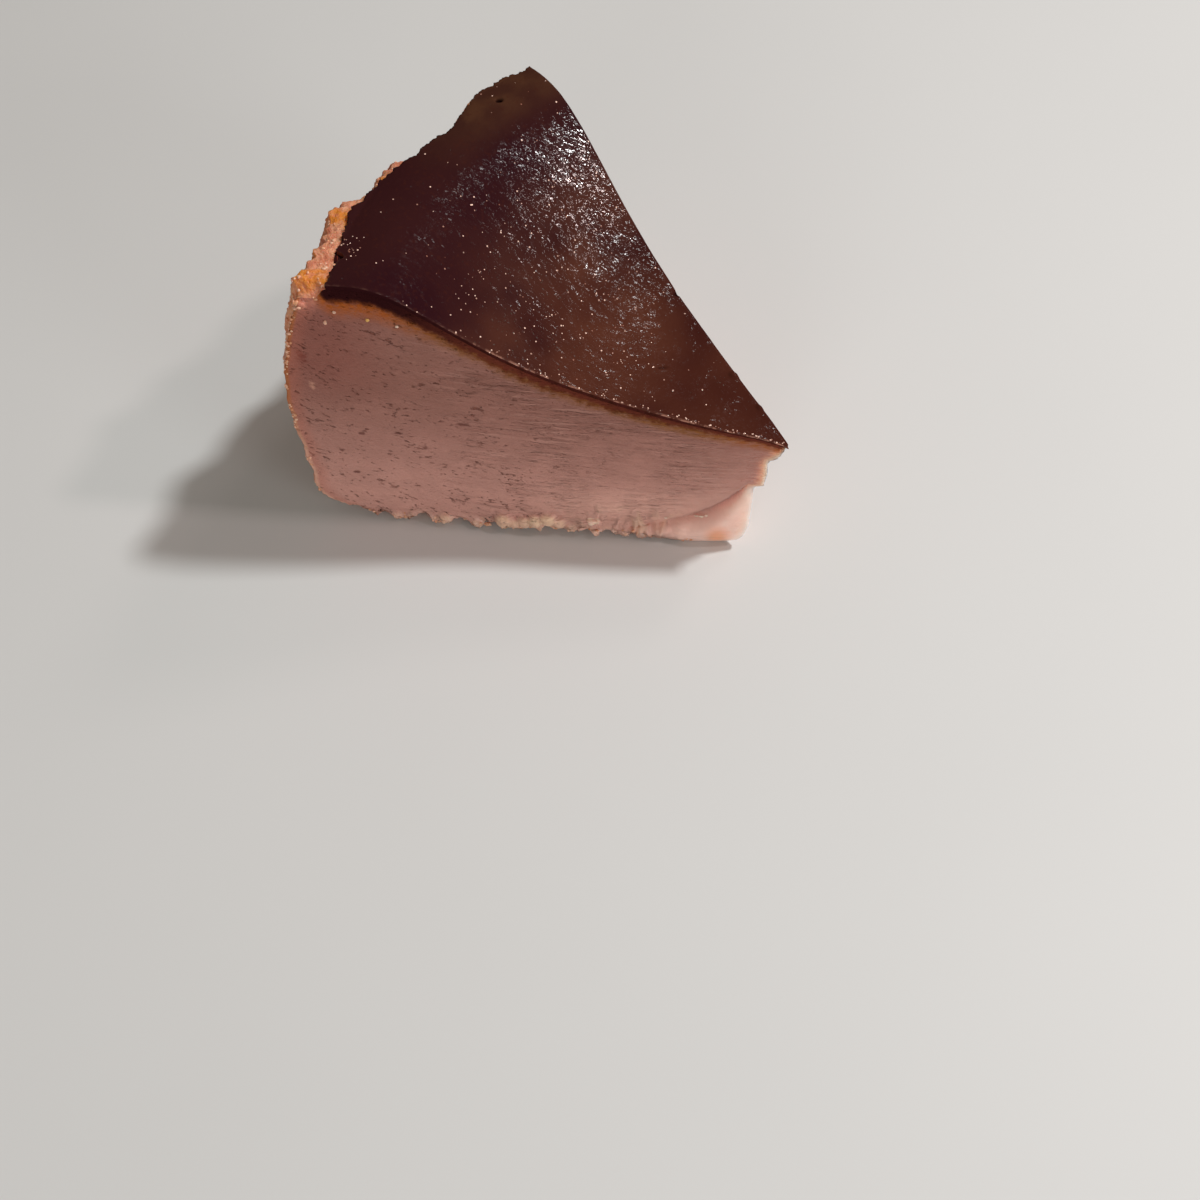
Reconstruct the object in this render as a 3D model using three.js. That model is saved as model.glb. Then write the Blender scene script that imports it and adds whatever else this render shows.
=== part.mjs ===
import * as THREE from "three";

// A slice cut as a wedge from a round burnt cheesecake, in millimetres and degrees.
// The cake's own axis is the sharp corner of the wedge. A radius is measured from that axis,
// an angle from the front cut, a height from the base. The tip points along +X.

// The cut
const WEDGE_ANGLE = 47.7;
const TIP_BLUNTNESS = 0.6; // radius where the crust's corner ends
const TIP_SKEW = 0.9; // how much further in the break runs at the back cut

// The sunken top: a steady slope from the cake's centre, and a swollen rim on it
const CENTRE_HEIGHT = 26.9;
const TIP_DROOP = 0.8; // how far the crust's corner hangs below the slope
const TOP_SLOPE = 0.241;
const RIM_RISE = 12.6;
const RISE_END = [60.4, 57.9]; // radius where the rim levels off, at the front cut and the back
const RISE_POWER = 2.26;
const RIM_DROOP = [1.3, 1.9]; // how far the crust's outer edge rolls down, front and back
const DROOP_FROM = 56;

// The baked wall
const BELLY_RADIUS = 75.3;
const BELLY_HEIGHT = 24;
const LEAN_POWER = 2; // how late the wall leans in above the belly
const CORNER_REACH = 12.5; // how far the rounded bottom corner runs in
const CORNER_HEIGHT = 8;

// Where folds of the baking paper set the edge of the dark crust, and how far the torn pale
// rim stands out past it: [angle, crust radius, pale width]
const RIM_FOLDS = [
  [0, 64.4, 4.7],
  [4, 64.1, 4.0],
  [5.5, 63.6, 4.2],
  [7, 64.7, 3.1],
  [13.5, 65.8, 2.6],
  [15, 64.8, 2.9],
  [17, 64.8, 1.4],
  [22, 64.2, 1.7],
  [24.5, 63.5, 1.9],
  [27, 63.1, 0.7],
  [32.5, 62.3, 0.7],
  [38, 65.0, 0.6],
  [41, 65.2, 0.6],
  [WEDGE_ANGLE, 64.7, 0.6],
];
const TORN_STEP = 0.8; // drop from the crust to the torn rim
const TORN_FALL = 1.0; // fall across the torn rim, to its outer edge

// Creases that the paper pressed into the wall: [angle, depth, lean in degrees to the top]
const CREASES = [
  [8.5, 0.9, -1.5],
  [16, 2.2, 1],
  [26.5, 1.7, -2],
  [34, 2.4, 1.5],
  [42.5, 1.5, 0.5],
];
const CREASE_WIDTH = 2.6; // degrees from a crease to the flat facet beside it
const WALL_CRAG = 0.45;

// The broken tip below the crust, from the base up: [height, radius]
const TIP_PROFILE = [
  [0, 10.3],
  [0.9, 7.4],
  [3, 6.2],
  [6, 5.3],
  [16.8, 5.1],
  [17.6, 3.4],
  [22.6, 3.3],
  [23.8, 2.4],
  [25.2, 1],
  [CENTRE_HEIGHT, TIP_BLUNTNESS],
];

// The foot that bulges from the front cut by the tip, below a falling crease, and the hollow
// that the knife dragged above that crease
const FOOT_DEPTH = 1.3;
const FOOT_ROUNDING = 4.5; // height at which the foot is deepest
const HOLLOW_DEPTH = 0.9;
const HOLLOW_RUN = 5; // height above the crease over which the hollow fades
const FOOT_TOP = 15; // height of the crease at its start by the tip
const FOOT_START = 6;
const FOOT_FALL = 9; // radius over which the crease falls by a factor of e
const FOOT_EDGE = 4;
const FOOT_FADE = [19, 30]; // radii between which the foot dies away

// Teeth along the lower edges, where creases of the paper met the cut
const TEETH = 10;
const TOOTH_SCATTER = 0.3; // unevenness of their places, as a share of the pitch
const NOTCH_DEPTH = 1.6;
const EDGE_CURL = 0.2; // how far the teeth themselves stand off the surface below
const NOTCH_RUN = 7; // how far a notch runs in under the slice
const TEETH_FROM = [14, 30]; // radii between which the notches reach their depth

const CUT_WAVE = 0.22; // slow waviness of the two cut faces
const WAVE_PHASE = -3.1; // leaves the front cut set back by the tip

// Steps of the surface net: along the radius, across the torn rim, round the cake, and up
const STEPS_PER_TOOTH = 3;
const RADIAL_STEPS = TEETH * STEPS_PER_TOOTH;
const RIM_STEPS = 4;
const ANGLE_STEPS = 28;
const HEIGHT_STEPS = 26;
const END_CROWDING = 0.6; // share by which the height steps crowd to the base and the top

const CAKE_COLOUR = 0xb98474;

const radians = THREE.MathUtils.degToRad;
const { lerp, smoothstep, clamp } = THREE.MathUtils;

// The value in one column of a table at a place between its rows.
function lookUp(table, place, column) {
  const last = table.length - 1;
  let row = 1;
  while (row < last && table[row][0] < place) row += 1;
  const [below, above] = [table[row - 1], table[row]];
  const share = clamp((place - below[0]) / (above[0] - below[0]), 0, 1);
  return lerp(below[column], above[column], share);
}

function topHeight(radius, across) {
  const share = Math.min(1, radius / lerp(...RISE_END, across)) ** RISE_POWER;
  const swell = (RIM_RISE * (1 - Math.cos(Math.PI * share))) / 2;
  const roll = clamp((radius - DROOP_FROM) / (RIM_FOLDS[0][1] - DROOP_FROM), 0, 1) ** 2;
  const droop = TIP_DROOP * Math.exp(-radius / 2) + lerp(...RIM_DROOP, across) * roll;
  return CENTRE_HEIGHT + TOP_SLOPE * radius + swell - droop;
}

function tipRadius(height, across) {
  return lookUp(TIP_PROFILE, height, 1) * (1 + TIP_SKEW * across);
}

// Depth of the paper's creases in the wall, as grooves that lean with the height.
function creaseDepth(angle, rise) {
  let depth = 0;
  for (const [at, deepest, lean] of CREASES) {
    const away = Math.abs(angle - at - lean * (rise - 0.5)) / CREASE_WIDTH;
    depth += deepest * (1 - smoothstep(away, 0, 1));
  }
  return depth * Math.sin(Math.PI * lerp(0.12, 1, rise)) ** 0.5;
}

function wallCrag(angle, height) {
  const across = Math.sin(1.31 * angle + 0.35 * height) * Math.sin(0.52 * height - 0.41 * angle + 1);
  const fine = Math.sin(2.3 * angle - 0.9 * height + 2);
  return WALL_CRAG * (0.7 * across + 0.3 * fine);
}

// Radius of the wall at a share of its height, from the base edge (0) to the rim (1).
function wallRadius(angle, rise) {
  const rimEdge = lookUp(RIM_FOLDS, angle, 1) + lookUp(RIM_FOLDS, angle, 2);
  const rimHeight = topHeight(rimEdge, angle / WEDGE_ANGLE) - TORN_STEP - TORN_FALL;
  const height = rise * rimHeight;
  const corner = CORNER_REACH * Math.max(0, 1 - height / CORNER_HEIGHT) ** 3;
  const lean = Math.max(0, (height - BELLY_HEIGHT) / (rimHeight - BELLY_HEIGHT)) ** LEAN_POWER;
  const wall = BELLY_RADIUS - corner - (BELLY_RADIUS - rimEdge) * lean;
  return wall - creaseDepth(angle, rise) + wallCrag(angle, height) * smoothstep(height, 0, 4);
}

// Where a tooth stands along a lower edge, as a share of the way out under the crust.
function toothAt(tooth) {
  const scatter = TOOTH_SCATTER * Math.sin(2.3 * tooth) * Math.sin((Math.PI * tooth) / TEETH);
  return (tooth + scatter) / TEETH;
}

// Lift of the lower edge between pointed teeth, at a distance in from the cut.
function notchLift(outward, radius, inward, phase) {
  let tooth = 0;
  while (tooth < TEETH && toothAt(tooth + 1) <= outward) tooth += 1;
  const between = (outward - toothAt(tooth)) / (toothAt(tooth + 1) - toothAt(tooth));
  const arch = Math.sin(Math.PI * clamp(between, 0, 1)) ** 0.8;
  const uneven = 0.65 + 0.35 * Math.sin(1.9 * tooth + phase);
  const reach = 1 - smoothstep(inward, 0, NOTCH_RUN);
  return (EDGE_CURL + NOTCH_DEPTH * uneven * arch) * reach * smoothstep(radius, ...TEETH_FROM);
}

// How far the front cut stands out of its plane: the foot, the hollow, and a slow wave.
function frontBulge(radius, height) {
  const crease = FOOT_TOP * Math.exp((FOOT_START - radius) / FOOT_FALL);
  const below = smoothstep(crease - height, 0, FOOT_EDGE);
  const foot = FOOT_DEPTH * below * smoothstep(height, -FOOT_ROUNDING / 3, FOOT_ROUNDING);
  const above = Math.max(0, height - crease) / HOLLOW_RUN;
  const hollow = HOLLOW_DEPTH * (1 - below) * Math.exp(-above);
  const fade = 1 - smoothstep(radius, ...FOOT_FADE);
  return (foot - hollow) * fade + CUT_WAVE * Math.sin(0.11 * radius + 0.13 * height + WAVE_PHASE);
}

function backBulge(radius, height) {
  return CUT_WAVE * Math.sin(0.14 * radius - 0.1 * height + 1);
}

// A place in the solid from three shares: out along the radius, round from the front cut to
// the back cut, and up from the base. The two steps of outward are the crust and torn rim.
function placeAt(outward, across, rise) {
  const angle = WEDGE_ANGLE * across;
  const crustEdge = lookUp(RIM_FOLDS, angle, 1);
  const wall = wallRadius(angle, rise);
  const tip = tipRadius(rise * CENTRE_HEIGHT, across);
  const rimEdge = crustEdge + lookUp(RIM_FOLDS, angle, 2);
  const crustTip = tipRadius(CENTRE_HEIGHT, across);
  const crustShare = (crustEdge - crustTip) / (rimEdge - crustTip);
  const torn = Math.max(0, outward - 1);
  const share = lerp(Math.min(outward, 1) * crustShare, 1, torn);
  const radius = lerp(tip, wall, share);

  const topRadius = lerp(crustTip, rimEdge, share);
  const drop = TORN_STEP * smoothstep(torn, 0, 1 / RIM_STEPS) + TORN_FALL * torn ** 1.5;
  const top = topHeight(topRadius, across) - drop;
  const inFront = radius * Math.sin(radians(angle));
  const inBack = radius * Math.sin(radians(WEDGE_ANGLE - angle));
  const lift = notchLift(outward, radius, inFront, 0.4) + notchLift(outward, radius, inBack, 2.1);
  const height = rise * top + lift * (1 - rise) ** 4;

  const half = radians(WEDGE_ANGLE / 2);
  const turn = radians(angle) - half;
  const front = frontBulge(radius, height) * (1 - smoothstep(inFront, 0, 4));
  const back = backBulge(radius, height) * (1 - smoothstep(inBack, 0, 4));
  return new THREE.Vector3(
    -radius * Math.cos(turn) + (front + back) * Math.sin(half),
    radius * Math.sin(turn) + (back - front) * Math.cos(half),
    height,
  );
}

// A height step as a share, with the steps crowded to the base and the top.
function riseAt(step) {
  const even = step / HEIGHT_STEPS;
  return lerp(even, (1 - Math.cos(Math.PI * even)) / 2, END_CROWDING);
}

// A radial step as a share, with every third step under a tooth.
function outwardAt(step) {
  if (step >= RADIAL_STEPS) return 1 + (step - RADIAL_STEPS) / RIM_STEPS;
  const tooth = Math.floor(step / STEPS_PER_TOOTH);
  return lerp(toothAt(tooth), toothAt(tooth + 1), (step % STEPS_PER_TOOTH) / STEPS_PER_TOOTH);
}

// The six sides of the bent block share the points along their edges, so it is one closed body.
function wedgeGeometry() {
  const steps = [RADIAL_STEPS + RIM_STEPS, ANGLE_STEPS, HEIGHT_STEPS];
  const corners = [];
  const triangles = [];
  const numbers = new Map();

  const corner = (place) => {
    const key = place.join();
    if (!numbers.has(key)) {
      numbers.set(key, numbers.size);
      corners.push(...placeAt(outwardAt(place[0]), place[1] / ANGLE_STEPS, riseAt(place[2])));
    }
    return numbers.get(key);
  };

  // One side holds one of the three steps at its first or last value.
  const side = (held, atEnd) => {
    const [first, second] = [0, 1, 2].filter((axis) => axis !== held);
    const at = (a, b) => {
      const place = [0, 0, 0];
      place[held] = atEnd ? steps[held] : 0;
      place[first] = a;
      place[second] = b;
      return corner(place);
    };
    const turned = (held === 1) !== atEnd;
    for (let a = 0; a < steps[first]; a += 1) {
      for (let b = 0; b < steps[second]; b += 1) {
        const [p, q, r, s] = [at(a, b), at(a + 1, b), at(a + 1, b + 1), at(a, b + 1)];
        if (turned) triangles.push(p, r, q, p, s, r);
        else triangles.push(p, q, r, p, r, s);
      }
    }
  };

  for (const held of [0, 1, 2]) {
    side(held, false);
    side(held, true);
  }
  const geometry = new THREE.BufferGeometry();
  geometry.setAttribute("position", new THREE.Float32BufferAttribute(corners, 3));
  geometry.setIndex(triangles);
  return geometry;
}

// The middle of the base is the origin.
function centreOnBase(geometry) {
  geometry.computeBoundingBox();
  const { min, max } = geometry.boundingBox;
  geometry.translate(-(min.x + max.x) / 2, -(min.y + max.y) / 2, -min.z);
  geometry.computeVertexNormals();
  return geometry;
}

const bakedCake = new THREE.MeshStandardMaterial({
  color: CAKE_COLOUR,
  roughness: 0.6,
  metalness: 0,
});

const cakeSlice = new THREE.Mesh(centreOnBase(wedgeGeometry()), bakedCake);
cakeSlice.name = "cake_slice";

const cheesecake = new THREE.Group();
cheesecake.add(cakeSlice);

export default cheesecake;
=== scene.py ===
import math

import bmesh
import bpy
import numpy as np
from mathutils import Matrix, Vector, noise


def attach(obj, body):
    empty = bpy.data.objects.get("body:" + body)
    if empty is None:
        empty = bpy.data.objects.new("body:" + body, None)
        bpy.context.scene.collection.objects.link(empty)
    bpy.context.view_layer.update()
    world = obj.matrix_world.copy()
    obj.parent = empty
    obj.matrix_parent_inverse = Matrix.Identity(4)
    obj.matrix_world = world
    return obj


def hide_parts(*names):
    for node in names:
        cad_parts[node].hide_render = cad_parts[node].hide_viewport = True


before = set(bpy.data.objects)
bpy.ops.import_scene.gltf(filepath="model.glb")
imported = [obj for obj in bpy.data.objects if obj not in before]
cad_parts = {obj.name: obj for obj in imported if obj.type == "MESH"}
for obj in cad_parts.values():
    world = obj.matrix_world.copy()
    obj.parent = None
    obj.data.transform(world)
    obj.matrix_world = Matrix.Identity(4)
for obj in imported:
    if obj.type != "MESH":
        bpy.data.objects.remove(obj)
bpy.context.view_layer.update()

mm = 0.001  # lengths below are in millimetres, angles in degrees
scene = bpy.context.scene

# the slice: a wedge of a round cake, measured from the cake's axis at its sharp corner
wedge = {
    "angle": 47.7,
    "apex": (38.275, 0.03),  # where the cake's axis stands on the base
    "tipCorner": 0.6,
    "skinCorner": 0.42,
    "tipSkew": 0.9,  # how much further in the break runs at the back cut
    "centreHeight": 26.9,
    "tipDroop": 0.8,
    "topSlope": 0.241,
    "rimRise": 12.6,
    "riseEnd": (60.4, 57.9),  # front cut, back cut
    "risePower": 2.26,
    "rimDroop": (1.3, 1.9),
    "droopFrom": 56,
    "droopTo": 64.4,
    "skin": (0.3, 0.8),  # thickness of the burnt skin, a piece of its own: at the tip, from 5 mm on
    "bellyRadius": 75.3,
    "bellyHeight": 24,
    "leanPower": 2,
    "cornerReach": 12.5,
    "cornerHeight": 8,
}

halfAngle = math.radians(wedge["angle"] / 2)
frontNormal = (math.sin(halfAngle), -math.cos(halfAngle), 0)  # out of the front cut

# edge of the burnt skin round the rim, and the torn pale rim outside it: angle, radius, width, fall
rimFolds = np.array([
    (0, 64.4, 4.7, 1.0), (3.3, 64.4, 4.4, 1.0), (5.4, 63.6, 4.4, 1.2), (6, 64.6, 3.4, 1.0),
    (7.3, 64.7, 3.1, 1.0), (8.5, 64.8, 2.8, 1.3), (10.7, 65.2, 3.0, 1.0), (13.2, 65.8, 2.6, 1.0),
    (13.9, 65.5, 2.4, 1.2), (14.7, 64.8, 2.9, 1.0), (16.4, 64.9, 1.3, 1.3), (19.5, 64.6, 1.4, 1.0),
    (22, 64.0, 1.8, 1.0), (24.2, 63.5, 2.1, 1.0), (25.5, 63.3, 1.8, 1.0), (26.7, 63.1, 0.8, 0.8),
    (29.6, 62.7, 0.7, 0.8), (32.1, 62.2, 0.8, 0.8), (34.8, 63.2, 0.7, 0.8), (37.7, 64.8, 0.6, 0.8),
    (40.5, 65.0, 0.6, 0.8), (44.2, 64.5, 0.7, 0.8), (47.7, 64.6, 0.6, 0.8),
])

# the broken tip under the skin, from the base up: height, radius
tipProfile = np.array([
    (0, 10.3), (0.5, 8.2), (1.2, 7.1), (3, 6.1), (6, 5.3), (12, 5.05), (14.7, 5.1), (15.1, 4.8),
    (15.5, 3.6), (19.5, 3.25), (22.4, 3.3), (23.3, 3.0), (23.9, 2.1), (24.8, 1.5), (25.4, 1.3),
    (26.9, 0.9),
])

# creases that the paper pressed into the wall: angle, depth, lean in degrees to the top
creases = [(8.5, 0.9, -1.5), (16, 2.2, 1), (26.5, 1.7, -2), (34, 2.4, 1.5), (42.5, 1.5, 0.5)]
creaseWidth = 2.6

# the foot that bulges from the front cut by the tip, under a falling crease with a hollow above
foot = {
    "depth": 1.3, "rounding": 4.5, "hollow": 0.9, "hollowRun": 5, "top": 15, "start": 6, "fall": 9,
    "edge": 3.4, "ceiling": 15, "groove": 0.4, "grooveWidth": 0.45, "fade": (19, 30),
    "cornerDepth": (0.5, 2.2), "cornerRun": 6,
}

# pointed teeth with arched notches along the lower edges
teeth = {
    "count": 10, "scatter": 0.3, "notch": 1.6, "curl": 0.2, "run": 7, "from": (14, 30), "phases": (0.4, 2.1),
    "ragged": 1.1, "raggedRun": 3, "raggedFrom": (12, 18), "raggedFull": (24, 38),
}
cutWave = {"depth": 0.22, "phase": -3.1}

# lumps of curd grown into the lower edge of the front cut: radius, height, length, thickness, cream
# the last lump, high by the rim, is a painted highlight in cream
edgeLumps = [
    (66.0, 1.0, 1.6, 1.6, 0.3), (63.0, 1.2, 1.6, 1.8, 0.3), (60.2, 1.0, 2.0, 2.2, 0.5),
    (57.0, 1.0, 1.6, 1.8, 0.3), (54.7, 1.3, 2.4, 2.6, 0.7), (52.0, 0.8, 1.4, 1.4, 0.3),
    (49.6, 0.8, 2.2, 2.2, 0.5), (47.4, 1.6, 1.8, 2.0, 0.4), (45.0, 2.6, 2.8, 3.2, 0.9),
    (43.2, 1.8, 2.0, 2.4, 0.7), (41.5, 2.7, 2.4, 2.6, 0.8), (39.7, 3.2, 2.4, 3.2, 1.0),
    (37.6, 3.8, 2.8, 3.0, 1.0), (35.9, 2.9, 2.2, 2.4, 0.8), (42.2, 0.8, 2.0, 1.6, 0.5),
    (38.6, 1.3, 2.6, 2.0, 0.6), (34.0, 1.8, 1.8, 1.8, 0.5), (32.0, 1.1, 1.8, 1.6, 0.4),
    (29.6, 0.9, 1.6, 1.4, 0.4), (27.2, 0.7, 1.6, 1.2, 0.3), (25.0, 0.6, 1.4, 1.0, 0.3),
    (22.4, 0.6, 1.6, 1.0, 0.2), (19.4, 2.6, 2.6, 2.0, 0.1), (68.7, 50.0, 1.9, 1.7, 0.9),
]

# how the torn rim slumps towards the front cut
frontSlump = {"depth": 2.0, "run": 2.2}

# steps of the surface nets
net = {
    "inner": 168, "rim": 22, "up": 150,  # on the cuts: out to the skin's edge, over the torn rim, upwards
    "crowding": 0.55,  # how much closer the steps lie towards both ends
    "round": 176,  # round the wall
    "coarse": 14,  # across the tip and its base
    "edge": 1600,  # angles at which the torn edges are worked out
    "skinOut": 356, "skinDown": 5,  # rows of the skin, from the tip out and down its edges
    "skinStep": 0.19, "skinTip": 12,  # mm between the points of a row, and steps in the first one
    "skinReach": 64.5,  # about where the skin ends
}


def smooth(value, start, end):
    share = np.clip((value - start) / (end - start), 0, 1)
    return share * share * (3 - 2 * share)


def fade(value, start, end):
    return 1 - smooth(value, start, end)


def mix(low, high, share):
    return low + (high - low) * share


def ripple(place, size, seed):
    # smooth random curve of one variable, -1 to 1
    flat = np.ravel(place)
    values = [noise.noise((float(value) / size, seed * 7.3, 0.5)) for value in flat]
    return 1.6 * np.array(values).reshape(np.shape(place))


def lookUp(table, place, column=1):
    return np.interp(place, table[:, 0], table[:, column])


def topHeight(radius, across):
    share = np.minimum(1, radius / mix(*wedge["riseEnd"], across)) ** wedge["risePower"]
    swell = wedge["rimRise"] * (1 - np.cos(math.pi * share)) / 2
    roll = np.clip((radius - wedge["droopFrom"]) / (wedge["droopTo"] - wedge["droopFrom"]), 0, 1) ** 2
    droop = wedge["tipDroop"] * np.exp(-radius / 2) + mix(*wedge["rimDroop"], across) * roll
    return wedge["centreHeight"] + wedge["topSlope"] * radius + swell - droop


# the torn edges, worked out once at many angles: angle, skin's edge, rim's outer edge, fall
def tornEdges():
    angle = np.linspace(0, wedge["angle"], net["edge"])
    skin = lookUp(rimFolds, angle)
    skin = skin + 0.3 * ripple(angle, 0.75, 1) + 0.15 * ripple(angle, 0.25, 2)
    width = lookUp(rimFolds, angle, 2)
    ragged = 0.35 * ripple(angle, 0.9, 3) + 0.2 * ripple(angle, 0.35, 4)
    rim = skin + np.maximum(0.35, width + ragged * np.clip(width / 2, 0.3, 1))
    fall = lookUp(rimFolds, angle, 3)
    return np.stack([angle, skin, rim, fall], axis=-1)


torn = tornEdges()


def skinEdge(angle):
    return lookUp(torn, angle)


def rimEdge(angle):
    return lookUp(torn, angle, 2)


def rimFall(angle):
    return lookUp(torn, angle, 3)


def tipRadius(height, across):
    return lookUp(tipProfile, height) * (1 + wedge["tipSkew"] * across)


def creaseDepth(angle, rise):
    depth = 0
    for at, deepest, lean in creases:
        away = np.abs(angle - at - lean * (rise - 0.5)) / creaseWidth
        depth = depth + deepest * fade(away, 0, 1)
    return depth * np.sin(math.pi * mix(0.12, 1, rise)) ** 0.5


def wallRadius(angle, rise, edge, rimHeight):
    height = rise * rimHeight
    corner = wedge["cornerReach"] * np.maximum(0, 1 - height / wedge["cornerHeight"]) ** 3
    lean = np.maximum(0, (height - wedge["bellyHeight"]) / (rimHeight - wedge["bellyHeight"]))
    wall = wedge["bellyRadius"] - corner - (wedge["bellyRadius"] - edge) * lean ** wedge["leanPower"]
    crag = 0.7 * np.sin(1.31 * angle + 0.35 * height) * np.sin(0.52 * height - 0.41 * angle + 1)
    crag = crag + 0.3 * np.sin(2.3 * angle - 0.9 * height + 2)
    return wall - creaseDepth(angle, rise) + 0.45 * crag * smooth(height, 0, 4)


def toothAt(tooth):
    count = teeth["count"]
    scatter = teeth["scatter"] * np.sin(2.3 * tooth) * np.sin(math.pi * tooth / count)
    return (tooth + scatter) / count


def notchLift(outward, radius, inward, phase):
    places = toothAt(np.arange(teeth["count"] + 1))
    tooth = np.clip(np.searchsorted(places, outward, side="right") - 1, 0, teeth["count"] - 1)
    between = (outward - places[tooth]) / (places[tooth + 1] - places[tooth])
    arch = np.sin(math.pi * np.clip(between, 0, 1)) ** 0.8
    uneven = 0.65 + 0.35 * np.sin(1.9 * tooth + phase)
    reach = fade(inward, 0, teeth["run"])
    return (teeth["curl"] + teeth["notch"] * uneven * arch) * reach * smooth(radius, *teeth["from"])


def raggedLift(radius, inward):
    # small uneven points between the teeth
    wave = ripple(radius, 2.4, 11) + 0.3 * ripple(radius, 0.7, 12)
    lift = teeth["ragged"] * np.clip(1.5 * np.abs(wave), 0, 1.4)
    share = mix(0.2, 1, smooth(radius, *teeth["raggedFull"])) * smooth(radius, *teeth["raggedFrom"])
    return lift * fade(inward, 0, teeth["raggedRun"]) * share


def edgeLump(radius, height):
    # how far the lumps stand out of the cut, and their share of cream
    push, cream = 0, 0
    for atRadius, atHeight, long, thick, light in edgeLumps:
        aside, up = (radius - atRadius) / (0.55 * long), (height - atHeight) / (0.55 * thick)
        dome = np.maximum(0, 1 - aside ** 2 - up ** 2)
        push = np.maximum(push, 0.42 * thick * dome ** 0.6)
        cream = np.maximum(cream, light * smooth(dome, 0, 0.5))
    return push, cream


def footCrease(radius):
    return np.minimum(foot["ceiling"], foot["top"] * np.exp((foot["start"] - radius) / foot["fall"]))


def frontBulge(radius, height):
    crease = footCrease(radius)
    below = 1 - (1 - np.clip((crease - height) / foot["edge"], 0, 1)) ** 2
    swell = foot["depth"] * below * smooth(height, -foot["rounding"] / 3, foot["rounding"])
    above = np.maximum(0, height - crease) / foot["hollowRun"]
    hollow = foot["hollow"] * (1 - below) * np.exp(-above)
    byTip = fade(radius, *foot["fade"])
    fromTip = np.clip((radius - tipRadius(height, 0)) / foot["cornerRun"], 0, 1)
    swell = swell - mix(*foot["cornerDepth"], smooth(height, 0, 14)) * below * (1 - fromTip) ** 2
    groove = foot["groove"] * np.exp(-((height - crease) / foot["grooveWidth"]) ** 2)
    groove = groove * smooth(fromTip, 0, 0.3)
    wave = cutWave["depth"] * np.sin(0.11 * radius + 0.13 * height + cutWave["phase"])
    return (swell - hollow - groove) * byTip + wave


def backBulge(radius, height):
    return cutWave["depth"] * np.sin(0.14 * radius - 0.1 * height + 1)


def fromCuts(radius, angle):
    # how far a place is from the front cut and from the back cut
    return radius * np.sin(np.radians(angle)), radius * np.sin(np.radians(wedge["angle"] - angle))


def toSpace(radius, across, height):
    # from radius, share of the angle and height to a place, with the bulges of both cuts
    angle = wedge["angle"] * across
    turn = np.radians(angle) - halfAngle
    inFront, inBack = fromCuts(radius, angle)
    front = frontBulge(radius, height) * fade(inFront, 0, 4)
    back = backBulge(radius, height) * fade(inBack, 0, 4)
    x = wedge["apex"][0] - radius * np.cos(turn) + (front + back) * math.sin(halfAngle)
    y = wedge["apex"][1] + radius * np.sin(turn) + (back - front) * math.cos(halfAngle)
    return np.stack([x, y, height], axis=-1)


def addObject(name, data):
    thing = bpy.data.objects.new(name, data)
    scene.collection.objects.link(thing)
    return thing


class Shell:
    # gathers patches of a closed surface, with a few values at each of its points
    def __init__(self):
        self.points, self.values, self.faces, self.kinds = [], [], [], []
        self.count = 0

    def rows(self, rows, kind):
        # rows of points (n, 3) with values (n, k); neighbouring rows may differ in number
        starts = []
        for points, values in rows:
            starts.append(self.count)
            self.points.append(points)
            self.values.append(values)
            self.count += len(points)
        for one in range(len(rows) - 1):
            low, high = len(rows[one][0]), len(rows[one + 1][0])
            if low == high:
                step = np.arange(low - 1)
                a, b = starts[one] + step, starts[one + 1] + step
                self.faces.extend(np.stack([a, a + 1, b + 1, b], axis=-1).tolist())
                self.kinds.extend([kind] * (low - 1))
            else:
                self.zip(starts[one], low, starts[one + 1], high, kind)

    def zip(self, startA, countA, startB, countB, kind):
        a = b = 0
        while a < countA - 1 or b < countB - 1:
            nextA = (a + 1) / (countA - 1) if a < countA - 1 else 2
            nextB = (b + 1) / (countB - 1) if b < countB - 1 else 2
            if nextA <= nextB:
                self.faces.append([startA + a, startA + a + 1, startB + b])
                a += 1
            else:
                self.faces.append([startA + a, startB + b + 1, startB + b])
                b += 1
            self.kinds.append(kind)

    def build(self, name, labels, materials):
        points = np.concatenate(self.points)
        values = np.concatenate(self.values)
        first, number = np.unique(
            np.round(points, 5), axis=0, return_index=True, return_inverse=True)[1:]
        number = number.ravel()
        body = bmesh.new()
        corners = [body.verts.new(place) for place in (points[first] * mm).tolist()]
        for face, kind in zip(self.faces, self.kinds):
            ring = list(dict.fromkeys(int(number[corner]) for corner in face))
            if len(ring) > 2:
                made = body.faces.new([corners[corner] for corner in ring])
                made.material_index = kind
                made.smooth = True
        bmesh.ops.recalc_face_normals(body, faces=body.faces)
        mesh = bpy.data.meshes.new(name)
        body.to_mesh(mesh)
        body.free()
        for column, label in enumerate(labels):
            layer = mesh.attributes.new(label, "FLOAT", "POINT")
            layer.data.foreach_set("value", values[first, column].astype(np.float32))
        for material in materials:
            mesh.materials.append(material)
        return addObject(name, mesh)


def skinDepth(radius):
    return mix(*wedge["skin"], smooth(radius, 2, 26))


def burntDepth(radius):
    # thickness of the dark band under the top, thinner towards the tip
    return mix(1.0, 2.5, smooth(radius, 2, 42))


# how crumbly the curd's parts are: on the cuts, down the wall, on the rim, beside it, along the lower edge
crumbly = {"cut": 0.02, "wall": 0.28, "rim": 0.4, "byRim": 0.3, "lowEdge": (0.12, 0.4)}

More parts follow.
